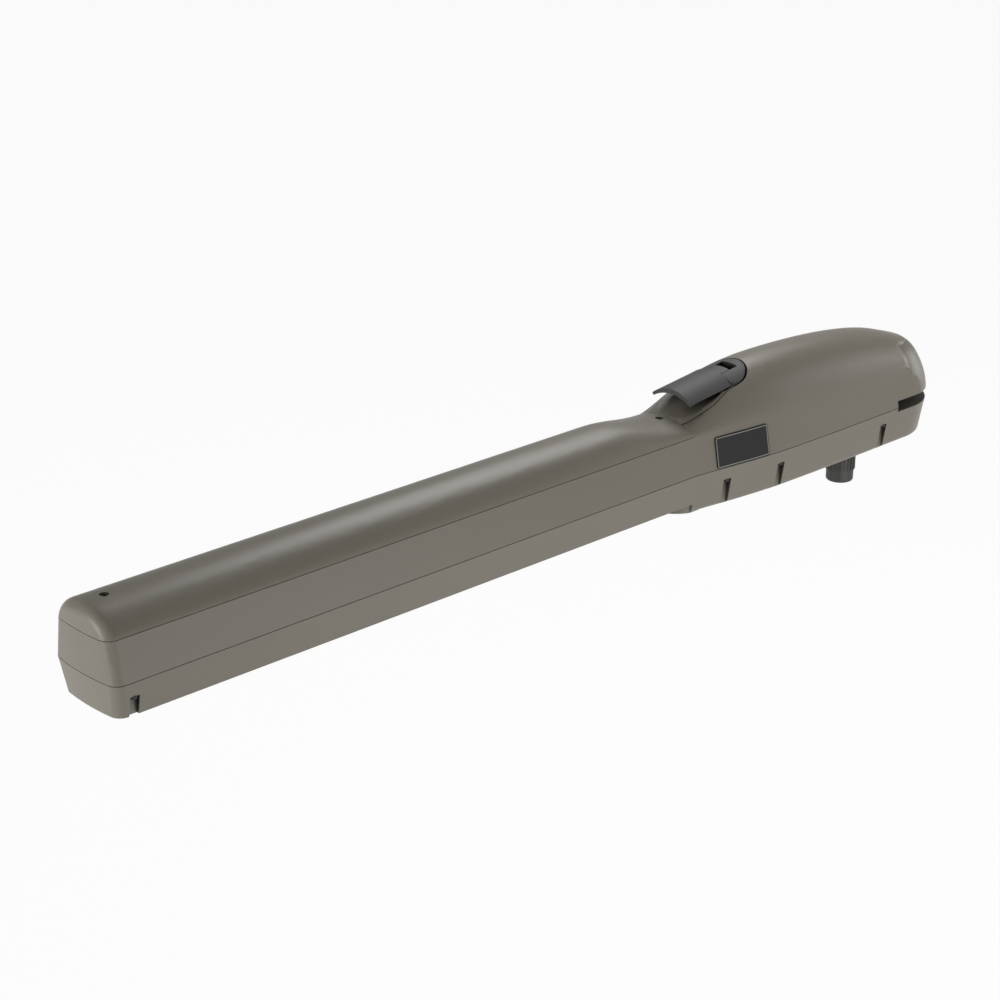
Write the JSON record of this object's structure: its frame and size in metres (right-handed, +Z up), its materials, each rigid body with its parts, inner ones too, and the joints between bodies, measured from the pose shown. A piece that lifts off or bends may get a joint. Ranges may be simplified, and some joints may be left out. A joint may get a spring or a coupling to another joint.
{
  "type": "linear swing gate opener",
  "caption": "Linear swing gate opener: long moulded arm with a screw-driven traveller below, a bulbous motor housing with a release lever on top, and a slotted tail for a wall bracket.",
  "frame": {"origin": "on the axis of the rear pivot, halfway up the slot for the wall bracket", "axes": "+X from the nose of the arm to the tail, +Z up along the pivot axes, -Y towards the side with the bare plate and the cable gland"},
  "size_m": [1.1226, 0.122, 0.1702],
  "materials": {
    "casing_plastic": "fine matte grain, warm grey",
    "plate_plastic": "dark satin plate",
    "black_plastic": "matte black moulding",
    "lever_plastic": "matte dark grey moulding",
    "pad_plastic": "natural low-friction plastic",
    "zinc_steel": "zinc plated",
    "ground_steel": "ground",
    "bright_metal": "bright",
    "beam_aluminium": "mill finish extrusion",
    "cast_aluminium": "die cast, blasted",
    "bronze": "turned bronze",
    "motor_steel": "black paint",
    "board_laminate": "green solder mask",
    "seal_rubber": "matte"
  },
  "bodies": {
    "casing": {"lower_shell": "casing_plastic", "upper_shell": "casing_plastic", "top_cover": "casing_plastic", "nameplate": "plate_plastic", "lever_base": "black_plastic", "cover_screws": "zinc_steel", "cover_posts": "zinc_steel", "shell_screws": "zinc_steel", "lever_pin": "ground_steel", "guide_beam": "beam_aluminium", "front_block": "black_plastic", "front_bush": "bronze", "travel_stops": "cast_aluminium", "stop_bumpers": "seal_rubber", "brush_seals": "seal_rubber", "screw_bearing": "ground_steel", "rear_bearing": "ground_steel", "gearbox_case": "cast_aluminium", "gearbox_cover": "cast_aluminium", "motor_can": "motor_steel", "motor_end_bell": "black_plastic", "encoder_board": "board_laminate", "terminal_bracket": "zinc_steel", "terminal_block": "pad_plastic", "tie_bars": "zinc_steel", "tie_nuts": "zinc_steel", "tail_fork": "cast_aluminium", "pivot_bushes": "bronze", "gland_body": "black_plastic", "gland_nut": "black_plastic", "cable_seal": "seal_rubber", "gland_locknut": "black_plastic"},
    "traveller": {"carriage_body": "cast_aluminium", "drive_nut": "bronze", "nut_screws": "zinc_steel", "slide_pads": "pad_plastic", "front_pivot_bush": "bronze"},
    "screw": {"lead_screw": "ground_steel", "circlip": "ground_steel", "clutch_spring": "ground_steel"},
    "collar": {"clutch_collar": "ground_steel"},
    "gear": {"output_gear": "ground_steel"},
    "pinion": {"motor_pinion": "ground_steel", "motor_shaft": "ground_steel"},
    "release": {"shift_fork": "zinc_steel", "release_stirrup": "zinc_steel"},
    "lever": {"release_lever": "lever_plastic"},
    "lock": {"lock_barrel": "bright_metal"}
  },
  "joints": [
    {"name": "traveller_slide", "type": "slide", "parent": "casing", "child": "traveller", "axis": [-1, 0, 0], "range_m": [0, 0.5]},
    {"name": "screw_turn", "type": "hinge", "parent": "casing", "child": "screw", "pos_m": [-0.7, 0, 0], "axis": [1, 0, 0], "continuous": true},
    {"name": "gear_turn", "type": "hinge", "parent": "casing", "child": "gear", "pos_m": [-0.3067, 0, 0], "axis": [1, 0, 0], "continuous": true},
    {"name": "pinion_turn", "type": "hinge", "parent": "casing", "child": "pinion", "pos_m": [-0.3067, 0, 0.036], "axis": [1, 0, 0], "continuous": true},
    {"name": "lever_lift", "type": "hinge", "parent": "casing", "child": "lever", "pos_m": [-0.276, 0, 0.0775], "axis": [0, 1, 0], "range_deg": [0, 75]},
    {"name": "release_pull", "type": "slide", "parent": "casing", "child": "release", "axis": [-1, 0, 0], "range_m": [0, 0.0072]},
    {"name": "collar_pull", "type": "slide", "parent": "screw", "child": "collar", "axis": [-1, 0, 0], "range_m": [0, 0.0072], "deforming": ["clutch_spring"]},
    {"name": "lock_turn", "type": "hinge", "parent": "casing", "child": "lock", "pos_m": [-0.2664, 0, 0.073], "axis": [0, 0, 1], "range_deg": [0, 90]}
  ],
  "couplings": [
    {"joint": "screw_turn", "follows": "traveller_slide", "rad_per_m": 628.32},
    {"joint": "gear_turn", "follows": "traveller_slide", "rad_per_m": 628.32},
    {"joint": "pinion_turn", "follows": "traveller_slide", "rad_per_m": -2113.4},
    {"joint": "release_pull", "follows": "lever_lift", "m_per_rad": 0.0055},
    {"joint": "collar_pull", "follows": "lever_lift", "m_per_rad": 0.0055}
  ]
}
